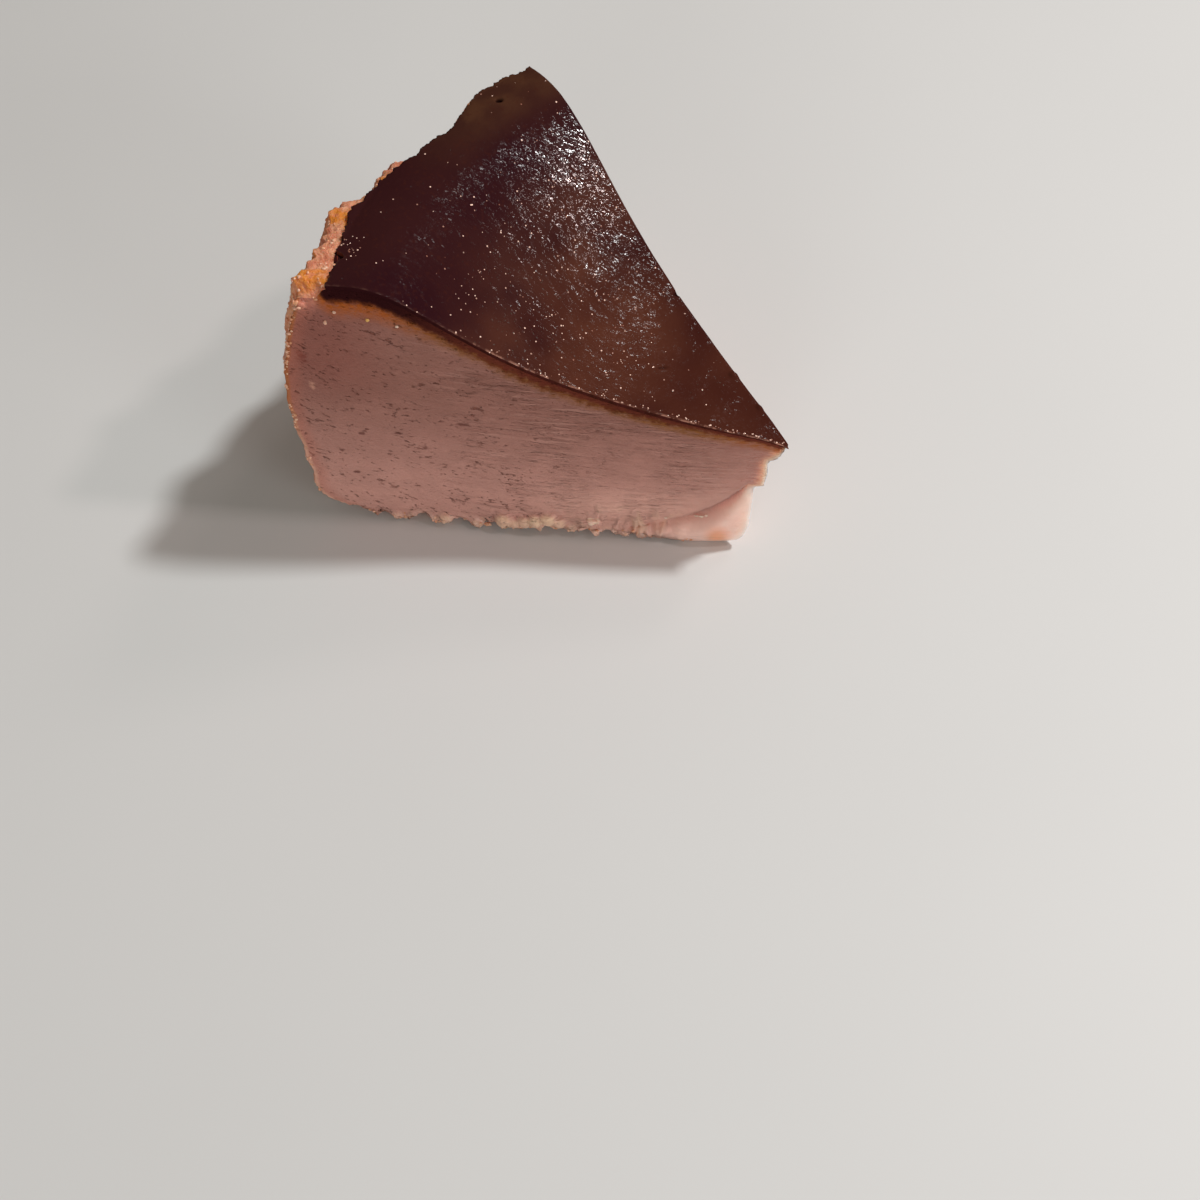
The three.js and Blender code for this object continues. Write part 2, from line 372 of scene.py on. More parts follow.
# where the curd's parts begin and end, in mm
zones = {
    "fromSeam": (0, 0.6), "fromCut": (0, 0.3), "fromWall": (0, 0.8),
    "beyondSkin": (-1, 2.5), "underRim": (0.5, 5),
    "beyondTip": (14, 20), "roughEdge": (24, 38), "lowEdge": (0.4, 1.7),
    "dragged": (35, 60),
    "smudgeEnd": (29, 36), "smudgeTop": (4, 10), "smudgeFoot": (0, 1.5),
    "footEnd": (12, 25), "footDepth": (0, 8), "footTop": (-0.9, 0.2), "hollowStart": (-0.4, 0.2),
}


def curdPlace(inner, tornShare, across, rise):
    # a place in the cake under the burnt skin, and the values that its finish reads
    inner, tornShare, across, rise = np.broadcast_arrays(inner, tornShare, across, rise)
    angle = wedge["angle"] * across
    skin, edge = skinEdge(angle), rimEdge(angle)
    rimHeight = topHeight(edge, across) - skinDepth(edge) - rimFall(angle)
    wall = wallRadius(angle, rise, edge, rimHeight)
    tip = tipRadius(rise * wedge["centreHeight"], across)
    corner = wedge["tipCorner"] * (1 + wedge["tipSkew"] * across)
    share = mix(inner * (skin - corner) / (edge - corner), 1, tornShare)
    radius = mix(tip, wall, share)
    topRadius = mix(corner, edge, share)
    top = topHeight(topRadius, across) - skinDepth(topRadius) - rimFall(angle) * tornShare ** 1.5
    slump = fade(topRadius * np.sin(np.radians(angle)), 0, frontSlump["run"])
    top = top - frontSlump["depth"] * slump * smooth(tornShare, 0, 0.5)
    inFront, inBack = fromCuts(radius, angle)
    outward = inner + tornShare
    frontPhase, backPhase = teeth["phases"]
    lift = notchLift(outward, radius, inFront, frontPhase) + notchLift(outward, radius, inBack, backPhase)
    near = np.minimum(inFront, inBack)
    height = rise * top + lift * (1 - rise) ** 4 + raggedLift(radius, near) * (1 - rise) ** 16
    place = toSpace(radius, across, height)
    push, cream = edgeLump(radius, height)
    push = push * fade(inFront, 0, 0.8)
    place = place + push[..., None] * np.array(frontNormal)

    below = topHeight(radius, across) - height
    burn = np.hypot(below, 2.2 * np.maximum(0, radius - skin)) / burntDepth(radius)
    fromWall = wall - radius
    seam = np.where(tornShare > 0, tornShare * (edge - skin), (1 - rise) * top)
    free = smooth(seam, *zones["fromSeam"])
    onRim = smooth(tornShare, 0, 0.2) * smooth(rise, 0.94, 1)
    wallward = fade(fromWall, *zones["fromWall"])
    onCut = fade(near, *zones["fromCut"])
    beyondTip = smooth(radius, *zones["beyondTip"])
    byRim = smooth(radius - skin, *zones["beyondSkin"]) * fade(top - height, *zones["underRim"]) * onCut
    lowEdge = onCut * fade(rise * top, *zones["lowEdge"]) * beyondTip
    lowCrumble = lowEdge * mix(*crumbly["lowEdge"], smooth(radius, *zones["roughEdge"]))
    crumble = crumbly["cut"] + crumbly["wall"] * wallward + crumbly["rim"] * onRim
    crumble = free * (crumble + crumbly["byRim"] * byRim + lowCrumble)
    drag = free * onCut * (1 - wallward) * mix(1, 0.35, smooth(radius, *zones["dragged"]))
    smudge = onCut * beyondTip * fade(radius, *zones["smudgeEnd"]) * fade(height, *zones["smudgeTop"])
    smudge = smudge * smooth(height, *zones["smudgeFoot"])
    above = height - footCrease(radius)
    byFoot = fade(radius, *zones["footEnd"]) * fade(inFront, *zones["footDepth"])
    footPart = byFoot * fade(above, *zones["footTop"])
    # share of painted shade in the hollow above the foot's crease
    hollow = byFoot * np.exp(-np.maximum(0, above) / 3) * smooth(above, *zones["hollowStart"])
    values = [radius, height, across, burn, fromWall, onRim, crumble, drag, smudge, byRim, footPart,
              hollow, lowEdge, radius - tip, cream * onCut]
    return place, np.stack([np.broadcast_to(value, radius.shape) for value in values], axis=-1)


curdLabels = [
    "radius", "height", "across", "burn", "fromWall", "onRim", "crumble", "drag", "smudge", "byRim",
    "footPart", "hollow", "lowEdge", "fromTip", "cream",
]


# small marks in the top: radius, angle, half length, half width, turn, depth in mm (a bump if below 0)
marks = [
    (61.2, 39.8, 0.5, 0.4, 0, 0.8), (21.7, 22.8, 0.9, 0.18, -20, 0.35), (46.6, 23.4, 1.2, 0.5, 20, 0.03),
    (13.4, 46.2, 0.8, 0.5, 0, -0.4), (7.3, 46.4, 0.6, 0.4, 0, -0.3), (49, 31, 0.5, 0.2, 30, 0.1),
    (28.3, 47.3, 0.5, 0.4, 0, 0.45), (33, 14, 0.5, 0.2, -40, 0.1), (56.5, 12, 0.6, 0.2, 60, 0.1),
    (28, 34, 0.4, 0.2, 10, 0.1),
]


def markDepth(radius, angle):
    x, y = radius * np.cos(np.radians(angle)), radius * np.sin(np.radians(angle))
    total = 0
    for atRadius, atAngle, long, wide, turn, depth in marks:
        fromX = x - atRadius * math.cos(math.radians(atAngle))
        fromY = y - atRadius * math.sin(math.radians(atAngle))
        turn = math.radians(turn)
        along = (fromX * math.cos(turn) + fromY * math.sin(turn)) / long
        aside = (fromY * math.cos(turn) - fromX * math.sin(turn)) / wide
        total = total + depth * np.exp(-(along ** 2 + aside ** 2) ** 1.5)
    return total


def skinPlace(inner, across, depth):
    # a place on the burnt skin, from its top (depth 0) to the curd (depth 1)
    inner, across, depth = np.broadcast_arrays(inner, across, depth)
    angle = wedge["angle"] * across
    corner = wedge["skinCorner"] * (1 + wedge["tipSkew"] * across)
    radius = mix(corner, skinEdge(angle), inner)
    inFront, inBack = fromCuts(radius, angle)
    inRim = skinEdge(angle) - radius
    nearest = np.minimum(np.minimum(inFront, inBack), inRim)
    lip = fade(nearest, 0, 0.3)
    marked = markDepth(radius, angle)
    height = topHeight(radius, across) - (0.1 * lip + marked) * (1 - depth) - skinDepth(radius) * depth
    place = toSpace(radius, across, height)
    burn = skinDepth(radius) * depth / burntDepth(radius)
    free = (1 - depth) * mix(1, 0.5, lip)
    values = [radius, across, burn, nearest, free, lip, marked]
    return place, np.stack([np.broadcast_to(value, radius.shape) for value in values], axis=-1)


skinLabels = ["radius", "across", "burn", "nearest", "free", "lip", "mark"]


def crowded(count):
    even = np.linspace(0, 1, count + 1)
    return mix(even, (1 - np.cos(math.pi * even)) / 2, net["crowding"])


def makeCurd(materials):
    # the cake under its skin: two cuts, broken tip, wall, torn rim, base
    shell = Shell()
    inner = np.linspace(0, 1, net["inner"] + 1)
    rim = np.linspace(0, 1, net["rim"] + 1)
    rises = crowded(net["up"])
    fine = np.linspace(0, 1, net["round"] + 1)
    coarse = crowded(net["coarse"])
    outInner = np.concatenate([inner, np.ones(net["rim"])])
    outTorn = np.concatenate([np.zeros(net["inner"] + 1), rim[1:]])
    for across in (0.0, 1.0):
        shell.rows([curdPlace(outInner, outTorn, across, rise) for rise in rises], 0)
    shell.rows([curdPlace(0.0, 0.0, coarse, rise) for rise in rises], 0)
    shell.rows([curdPlace(1.0, 1.0, fine, rise) for rise in rises], 1)
    shell.rows([curdPlace(1.0, share, fine, 1.0) for share in rim], 2)
    shell.rows([curdPlace(1.0, share, fine, 0.0) for share in rim], 3)
    for rise, kind in ((1.0, 0), (0.0, 3)):
        rows = [curdPlace(share, 0.0, coarse, rise) for share in inner[:-1]]
        shell.rows(rows + [curdPlace(1.0, 0.0, fine, rise)], kind)
    return shell.build("curd", curdLabels, materials)


def makeSkin(materials):
    # the dark burnt skin, with even meshes out to the rim
    shell = Shell()
    inner = np.linspace(0, 1, net["skinOut"] + 1)
    width = np.maximum(0.1, inner * net["skinReach"] * math.radians(wedge["angle"]))
    counts = net["skinTip"] * np.ceil(width / net["skinStep"] / net["skinTip"]).astype(int)
    depths = np.linspace(0, 1, net["skinDown"] + 1)
    low = np.linspace(0, 1, net["skinTip"] + 1)
    shell.rows([skinPlace(share, np.linspace(0, 1, count + 1), 0.0)
                for share, count in zip(inner, counts)], 0)
    for across in (0.0, 1.0):
        shell.rows([skinPlace(inner, across, depth) for depth in depths], 1)
    shell.rows([skinPlace(0.0, low, depth) for depth in depths], 1)
    lastRow = np.linspace(0, 1, counts[-1] + 1)
    shell.rows([skinPlace(1.0, lastRow, depth) for depth in depths], 1)
    rows = [skinPlace(share, low, 1.0) for share in inner[:-1]]
    shell.rows(rows + [skinPlace(1.0, lastRow, 1.0)], 1)
    return shell.build("burnt_skin", skinLabels, materials)


# nodes
def addNode(tree, kind, *inputs, **settings):
    node = tree.nodes.new(kind)
    for key, value in settings.items():
        setattr(node, key, value)
    for slot, value in enumerate(inputs):
        setInput(node.inputs[slot], value)
    return node


def setInput(socket, value):
    # value: a field, a node's output, a plain value, or None to leave it as it is
    if isinstance(value, Field):
        value = value.socket
    if isinstance(value, bpy.types.NodeSocket):
        socket.id_data.links.new(value, socket)
    elif value is not None:
        socket.default_value = value


def setInputs(node, **values):
    for label, value in values.items():
        setInput(node.inputs[label.replace("_", " ")], value)


class Field:
    # what a node gives out at each place: arithmetic with it adds nodes to its tree
    def __init__(self, socket):
        self.socket = socket
        self.tree = socket.id_data

    def calc(self, operation, *others):
        return Field(addNode(self.tree, "ShaderNodeMath", self, *others, operation=operation).outputs[0])

    def __add__(self, other):
        return self.calc("ADD", other)

    def __sub__(self, other):
        return self.calc("SUBTRACT", other)

    def __mul__(self, other):
        return self.calc("MULTIPLY", other)

    def __truediv__(self, other):
        return self.calc("DIVIDE", other)

    def __rsub__(self, other):
        return Field(addNode(self.tree, "ShaderNodeMath", other, self, operation="SUBTRACT").outputs[0])

    def __rtruediv__(self, other):
        return Field(addNode(self.tree, "ShaderNodeMath", other, self, operation="DIVIDE").outputs[0])

    def ramp(self, low, high, fromLow=0.0, fromHigh=1.0):
        node = addNode(self.tree, "ShaderNodeMapRange", self, fromLow, fromHigh, low, high)
        node.interpolation_type = "SMOOTHSTEP"
        return Field(node.outputs[0])

    def rise(self, start, end):
        return self.ramp(0.0, 1.0, start, end)

    def fall(self, start, end):
        return self.ramp(1.0, 0.0, start, end)

    def grain(self, size, detail=2.0, roughness=0.5, distortion=0.0):
        # at a place in mm: noise whose lumps are about that many millimetres, 0 to 1
        scale = 1.0 / size
        node = self.tree.nodes.new("ShaderNodeTexNoise")
        setInputs(node, Vector=self, Scale=scale, Detail=detail, Roughness=roughness, Distortion=distortion)
        return Field(node.outputs[0])

    def stretched(self, along, up):
        # a place scaled along its first two ways
        node = addNode(self.tree, "ShaderNodeMapping", self)
        node.inputs["Scale"].default_value = (along, up, 1.0)
        return Field(node.outputs[0])

    def turned(self, turn):
        # a place turned about the vertical
        node = addNode(self.tree, "ShaderNodeMapping", self)
        node.inputs["Rotation"].default_value = (0, 0, -math.radians(turn))
        return Field(node.outputs[0])


def blend(share, first, second, mode="MIX"):
    # the first colour where the share is 0, the second where it is 1
    tree = next(given.tree for given in (share, first, second) if isinstance(given, Field))
    node = addNode(tree, "ShaderNodeMix", data_type="RGBA", blend_type=mode)
    for slot, value in ((0, share), (6, first), (7, second)):
        setInput(node.inputs[slot], value)
    return Field(node.outputs[2])


def vector(tree, x, y, z):
    return Field(addNode(tree, "ShaderNodeCombineXYZ", x, y, z).outputs[0])


def newTree(name, inputs):
    # inputs: numbers by name, or None for a material
    tree = bpy.data.node_groups.new(name, "GeometryNodeTree")
    tree.interface.new_socket("Geometry", in_out="INPUT", socket_type="NodeSocketGeometry")
    kinds = {float: "NodeSocketFloat", int: "NodeSocketInt", type(None): "NodeSocketMaterial"}
    for label, value in inputs.items():
        socket = tree.interface.new_socket(label, in_out="INPUT", socket_type=kinds[type(value)])
        if value is not None:
            socket.default_value = value
    tree.interface.new_socket("Geometry", in_out="OUTPUT", socket_type="NodeSocketGeometry")
    start = tree.nodes.new("NodeGroupInput")
    end = tree.nodes.new("NodeGroupOutput")
    return tree, {socket.name: Field(socket) for socket in start.outputs if socket.name}, end.inputs[0]


def applyTree(thing, tree, inputs, name):
    # runs the tree on the object and keeps the result as a plain mesh
    modifier = thing.modifiers.new(name, "NODES")
    modifier.node_group = tree
    for item in tree.interface.items_tree:
        if item.item_type == "SOCKET" and item.in_out == "INPUT" and item.name in inputs:
            modifier[item.identifier] = inputs[item.name]
    graph = bpy.context.evaluated_depsgraph_get()
    made = bpy.data.meshes.new_from_object(
        thing.evaluated_get(graph), preserve_all_data_layers=True, depsgraph=graph)
    thing.modifiers.remove(modifier)
    return made


def named(tree, label):
    node = tree.nodes.new("GeometryNodeInputNamedAttribute")
    node.data_type = "FLOAT"
    node.inputs["Name"].default_value = label
    return Field(node.outputs["Attribute"])


def placeInMm(tree):
    place = tree.nodes.new("GeometryNodeInputPosition").outputs[0]
    scaled = addNode(tree, "ShaderNodeVectorMath", place, (1000, 1000, 1000), operation="MULTIPLY")
    return Field(scaled.outputs[0])


def moveAlongNormal(tree, geometry, lift):
    # lift in millimetres
    normal = tree.nodes.new("GeometryNodeInputNormal").outputs[0]
    scaled = addNode(tree, "ShaderNodeVectorMath", normal, operation="SCALE")
    setInputs(scaled, Scale=lift * mm)
    move = addNode(tree, "GeometryNodeSetPosition", geometry)
    setInputs(move, Offset=scaled.outputs[0])
    return move.outputs[0]


def centred(value, height):
    # a 0 to 1 pattern as a lift about zero
    return (value - 0.5) * height


# relief of the burnt skin: slow dents, wrinkles that run towards the tip, blisters
skinRelief = {
    "Dent size": 9.0, "Dent height": 0.45,
    "Wrinkle length": 2.0, "Wrinkle width": 0.7, "Wrinkle height": 0.08, "Wrinkle turn": 12.0,
    "Blister size": 0.55, "Blister height": 0.07,
}


def skinReliefTree():
    tree, given, out = newTree("skinRelief", skinRelief)
    place = placeInMm(tree)
    dents = centred(place.grain(given["Dent size"], 1.0), given["Dent height"])
    turned = addNode(tree, "ShaderNodeVectorRotate", place, rotation_type="Z_AXIS")
    setInputs(turned, Angle=given["Wrinkle turn"].calc("RADIANS") * -1.0)
    stretch = vector(tree, 1.0 / given["Wrinkle length"], 1.0 / given["Wrinkle width"], 0.3)
    folded = addNode(tree, "ShaderNodeVectorMath", turned.outputs[0], stretch, operation="MULTIPLY")
    wrinkles = centred(Field(folded.outputs[0]).grain(1.0, 2.0, 0.5, 0.6), given["Wrinkle height"])
    blisters = centred(place.grain(given["Blister size"], 1.0), given["Blister height"])
    patchy = place.grain(9.0, 1.0).ramp(0.25, 1.0, 0.35, 0.65)
    lift = ((wrinkles + blisters) * patchy + dents) * named(tree, "free")
    setInput(out, moveAlongNormal(tree, given["Geometry"], lift))
    return tree


# relief of the curd: crumbly torn rim and wall, and lines that the knife dragged on the cuts
curdRelief = {
    "Crumb size": 0.9, "Crumb height": 1.9, "Line length": 5.0, "Line pitch": 0.6, "Line height": 0.3,
    "Smudge length": 1.9, "Smudge height": 0.8,
}


def curdReliefTree():
    tree, given, out = newTree("curdRelief", curdRelief)
    radius, height, side = named(tree, "radius"), named(tree, "height"), named(tree, "across") * 40.0
    crumbs = placeInMm(tree).grain(given["Crumb size"], 3.0, 0.6)
    crumbs = centred(crumbs, given["Crumb height"]) * named(tree, "crumble")
    lines = vector(tree, radius / given["Line length"], height / given["Line pitch"], side)
    lines = centred(lines.grain(1.0, 2.0, 0.5, 0.4), given["Line height"]) * named(tree, "drag")
    smudges = vector(tree, radius / given["Smudge length"], height / (given["Smudge length"] * 4.0), side)
    smudges = smudges.grain(1.0, 2.0, 0.5, 0.5).rise(0.46, 0.7)
    smudges = smudges * given["Smudge height"] * named(tree, "smudge")
    setInput(out, moveAlongNormal(tree, given["Geometry"], crumbs + lines + smudges))
    return tree


# grains strewn over a surface where its attribute "strewn" allows
def grainTree(name):
    tree, given, out = newTree(name, {
        "Per square cm": 10.0, "Smallest": 0.2, "Largest": 0.5, "Flatness": 0.5, "Lumpiness": 0.3,
        "Seed": 1, "Material": None,
    })
    scatter = addNode(tree, "GeometryNodeDistributePointsOnFaces", given["Geometry"])
    setInputs(scatter, Density=given["Per square cm"] * 1e4 * named(tree, "strewn"), Seed=given["Seed"])
    ball = addNode(tree, "GeometryNodeMeshIcoSphere", mm, 2)
    lumps = centred(placeInMm(tree).grain(1.1, 1.0), given["Lumpiness"])
    lumpy = moveAlongNormal(tree, ball.outputs["Mesh"], lumps * 3.0)
    factor = randomValue(tree, given["Smallest"], given["Largest"], given["Seed"])
    turn = randomValue(tree, None, 2 * math.pi, given["Seed"] + 5.0)
    rotate = addNode(tree, "FunctionNodeRotateRotation", scatter.outputs["Rotation"],
                     vector(tree, 0.0, 0.0, turn), rotation_space="LOCAL")
    place = tree.nodes.new("GeometryNodeInstanceOnPoints")
    setInputs(place, Points=scatter.outputs["Points"], Instance=lumpy, Rotation=rotate.outputs[0],
              Scale=vector(tree, factor, factor, factor * given["Flatness"]))
    real = addNode(tree, "GeometryNodeRealizeInstances", place.outputs[0])
    painted = addNode(tree, "GeometryNodeSetMaterial", real.outputs[0])
    setInputs(painted, Material=given["Material"])
    setInput(out, painted.outputs[0])
    return tree


def randomValue(tree, low, high, seed):
    node = addNode(tree, "FunctionNodeRandomValue", data_type="FLOAT")
    for socket, value in zip([socket for socket in node.inputs if socket.enabled], (low, high)):
        setInput(socket, value)
    setInputs(node, Seed=seed)
    return Field(next(socket for socket in node.outputs if socket.enabled))


def flattenBase(thing):
    # nothing reaches below the plane that the slice stands on
    count = len(thing.data.vertices)
    places = np.zeros(count * 3, np.float32)
    thing.data.vertices.foreach_get("co", places)
    places[2::3] = np.maximum(places[2::3], 0)
    thing.data.vertices.foreach_set("co", places)


def strew(name, carrier, where, sizes, material):
    # where: function of the carrier's attributes to a share from 0 to 1
    mesh = carrier.data
    layer = mesh.attributes.new("strewn", "FLOAT", "POINT")
    layer.data.foreach_set("value", where(Values(mesh)).astype(np.float32))
    made = applyTree(carrier, grainTree(name), {**sizes, "Material": material}, name)
    made.name = name
    for face in made.polygons:
        face.use_smooth = True
    mesh.attributes.remove(mesh.attributes["strewn"])
    return addObject(name, made)


class Values:
    # reads a mesh's attributes as arrays
    def __init__(self, mesh):
        self.mesh = mesh

    def __getitem__(self, label):
        values = np.zeros(len(self.mesh.vertices), np.float32)
        self.mesh.attributes[label].data.foreach_get("value", values)
        return values


def paint(red, green, blue):
    # a colour as seen on screen, 0 to 255, as the linear colour that a shader takes
    shares = [value / 255 for value in (red, green, blue)]
    linear = [share / 12.92 if share < 0.04045 else ((share + 0.055) / 1.055) ** 2.4 for share in shares]
    return (*linear, 1.0)


def palette(**colours):
    return {name: paint(*colour) for name, colour in colours.items()}


def newFinish(name):
    # a material, its tree and shader, and the place in mm that its patterns lie on
    material = bpy.data.materials.new(name)
    material.use_nodes = True
    tree = material.node_tree
    tree.nodes.clear()
    shader = addNode(tree, "ShaderNodeBsdfPrincipled")
    addNode(tree, "ShaderNodeOutputMaterial", shader.outputs[0])
    place = addNode(tree, "ShaderNodeMapping", addNode(tree, "ShaderNodeTexCoord").outputs["Object"])
    place.inputs["Scale"].default_value = (1000, 1000, 1000)
    return material, tree, shader, Field(place.outputs[0])


def value(tree, label):
    return Field(addNode(tree, "ShaderNodeAttribute", attribute_name=label).outputs["Fac"])


def bumps(tree, shader, layers, target="Normal"):
    # layers: (height pattern, height in mm), coarse first
    normal = None
    for pattern, height in layers:
        node = addNode(tree, "ShaderNodeBump", invert=height < 0)
        setInputs(node, Strength=1, Distance=abs(height) * mm, Height=pattern, Normal=normal)
        normal = node.outputs[0]
    setInput(shader.inputs[target], normal)


burntColours = palette(
    dark=(48, 20, 20), warm=(86, 49, 36), plum=(40, 15, 21), red=(64, 30, 22), olive=(88, 58, 38),
    pit=(24, 8, 8), under=(78, 35, 31), lip=(186, 136, 116), torn=(100, 48, 36),
)


def burntFinish():
    material, tree, shader, place = newFinish("burntSugarTop")
    radius, across = value(tree, "radius"), value(tree, "across")
    colour = blend(place.grain(14.0, 2.0).rise(0.28, 0.68), burntColours["dark"], burntColours["warm"])
    colour = blend(radius.ramp(0.0, 0.85, 36.0, 52.0), colour, burntColours["plum"])
    colour = blend(radius.fall(8.0, 46.0) * 0.75, colour, burntColours["red"])
    back = radius.rise(54.0, 61.0) * across.rise(0.45, 0.75)
    patch = back * place.grain(6.0, 3.0).ramp(0.5, 1.0, 0.35, 0.65)
    colour = blend(patch * 0.62, colour, burntColours["olive"])
    speck = place.grain(0.7, 2.0).rise(0.55, 0.72)
    colour = blend(speck * 0.3, colour, burntColours["red"])
    # painted shade: the skin is darkened where the marks dip in as pits and slits
    colour = blend(value(tree, "mark").ramp(0.0, 0.9, 0.1, 0.5), colour, burntColours["pit"])
    # painted highlight: a light line along the lip over the front cut
    lipHighlight = value(tree, "lip") * across.fall(0.1, 0.3)
    lipHighlight = lipHighlight * radius.ramp(0.8, 0.12, 44.0, 54.0)
    lipHighlight = lipHighlight * place.grain(1.3, 3.0, 0.6).ramp(0.05, 1.0, 0.42, 0.62)
    colour = blend(lipHighlight, colour, burntColours["lip"])
    rough = place.grain(3.0, 3.0).ramp(0.4, 0.55, 0.3, 0.7) + back * 0.3
    bumps(tree, shader, [(place.grain(0.5, 3.0, 0.6), 0.06)])
    # gloss broken into short dashes that run towards the tip
    dash = place.turned(skinRelief["Wrinkle turn"]).stretched(0.7, 1.7)
    blisters = place.grain(0.65, 1.0).rise(0.6, 0.75)
    bumps(tree, shader, [(dash.grain(1.0, 1.5, 0.6, 0.3), 0.14), (dash.grain(2.6, 1.0), 0.25),
                         (blisters, 0.08)], "Coat Normal")
    glossy = place.grain(4.0, 4.0, 0.6).ramp(0.12, 0.4, 0.35, 0.62) * (1.0 - back * 0.8)
    dull = (radius - across * 9.0).ramp(1.0, 0.12, 38.0, 47.0)
    glossy = glossy * dull * radius.ramp(0.14, 1.0, 33.0, 44.0)
    # the glossiest part, by the back cut
    fromGlare = (radius - 46.5).calc("ABSOLUTE")
    glare = fromGlare.ramp(0.5, 0.0, 3.0, 7.0) * across.rise(0.68, 0.85)
    glare = glare * dash.grain(3.2, 2.0).ramp(0.08, 1.6, 0.4, 0.62)
    setInputs(shader, Base_Color=colour, Roughness=rough, IOR=1.5, Specular_IOR_Level=0.0,
              Coat_Weight=glossy.calc("MAXIMUM", glare), Coat_Roughness=0.1)
    return material


def burntSideFinish():
    # the cut edge of the skin: nearly black, without the gloss of its top
    material, tree, shader, place = newFinish("burntSide")
    radius, across = value(tree, "radius"), value(tree, "across")
    colour = blend(place.grain(0.8, 3.0).rise(0.4, 0.65), burntColours["under"], burntColours["red"])
    colour = blend(radius.ramp(0.0, 0.8, 36.0, 56.0), colour, burntColours["plum"])
    byRim = radius.rise(54.0, 58.0) * across.rise(0.02, 0.06)
    colour = blend(byRim, colour, burntColours["torn"])
    setInputs(shader, Base_Color=colour, Roughness=0.6, IOR=1.4, Specular_IOR_Level=0.0)
    bumps(tree, shader, [(place.grain(0.5, 3.0, 0.6), 0.12)])
    return material


curdColours = palette(
    upper=(166, 117, 105), lower=(220, 165, 152), foot=(252, 206, 191), burnt=(114, 56, 43),
    amber=(152, 98, 52), brown=(116, 60, 40), rind=(186, 112, 68), paleRind=(232, 176, 152),
    pore=(136, 78, 64), pink=(200, 122, 102), torn=(214, 138, 114), hollow=(112, 66, 58),
    tinge=(236, 148, 98), chunk=(104, 38, 32), smudge=(246, 190, 174), edge=(242, 188, 168),
    pit=(104, 60, 54), glow=(255, 190, 158), cream=(255, 214, 182), toasted=(184, 98, 42),
    blush=(150, 84, 74), tipAmber=(172, 100, 62),
)

# spots on the front cut: radius, height, half length, half height, colour
# the pit spots and the dark red pit are painted shade in small holes; the glow spot by the tip is painted
# light
cutSpots = [
    (10.2, 2.9, 2.2, 3.4, "tinge"), (1.8, 24.9, 1.6, 0.8, "glow"),
    (70.9, 39.1, 0.9, 1.5, "chunk"), (49.0, 26.2, 1.3, 0.6, "pit"),
    (55.7, 19.8, 0.9, 0.6, "pit"), (65.1, 22.5, 0.6, 0.4, "pit"), (67.8, 12.2, 0.6, 0.4, "pit"),
    (59.4, 23.1, 0.5, 0.35, "pit"), (69.1, 18.0, 0.5, 0.4, "pit"), (70.6, 33.1, 0.5, 0.8, "paleRind"),
]


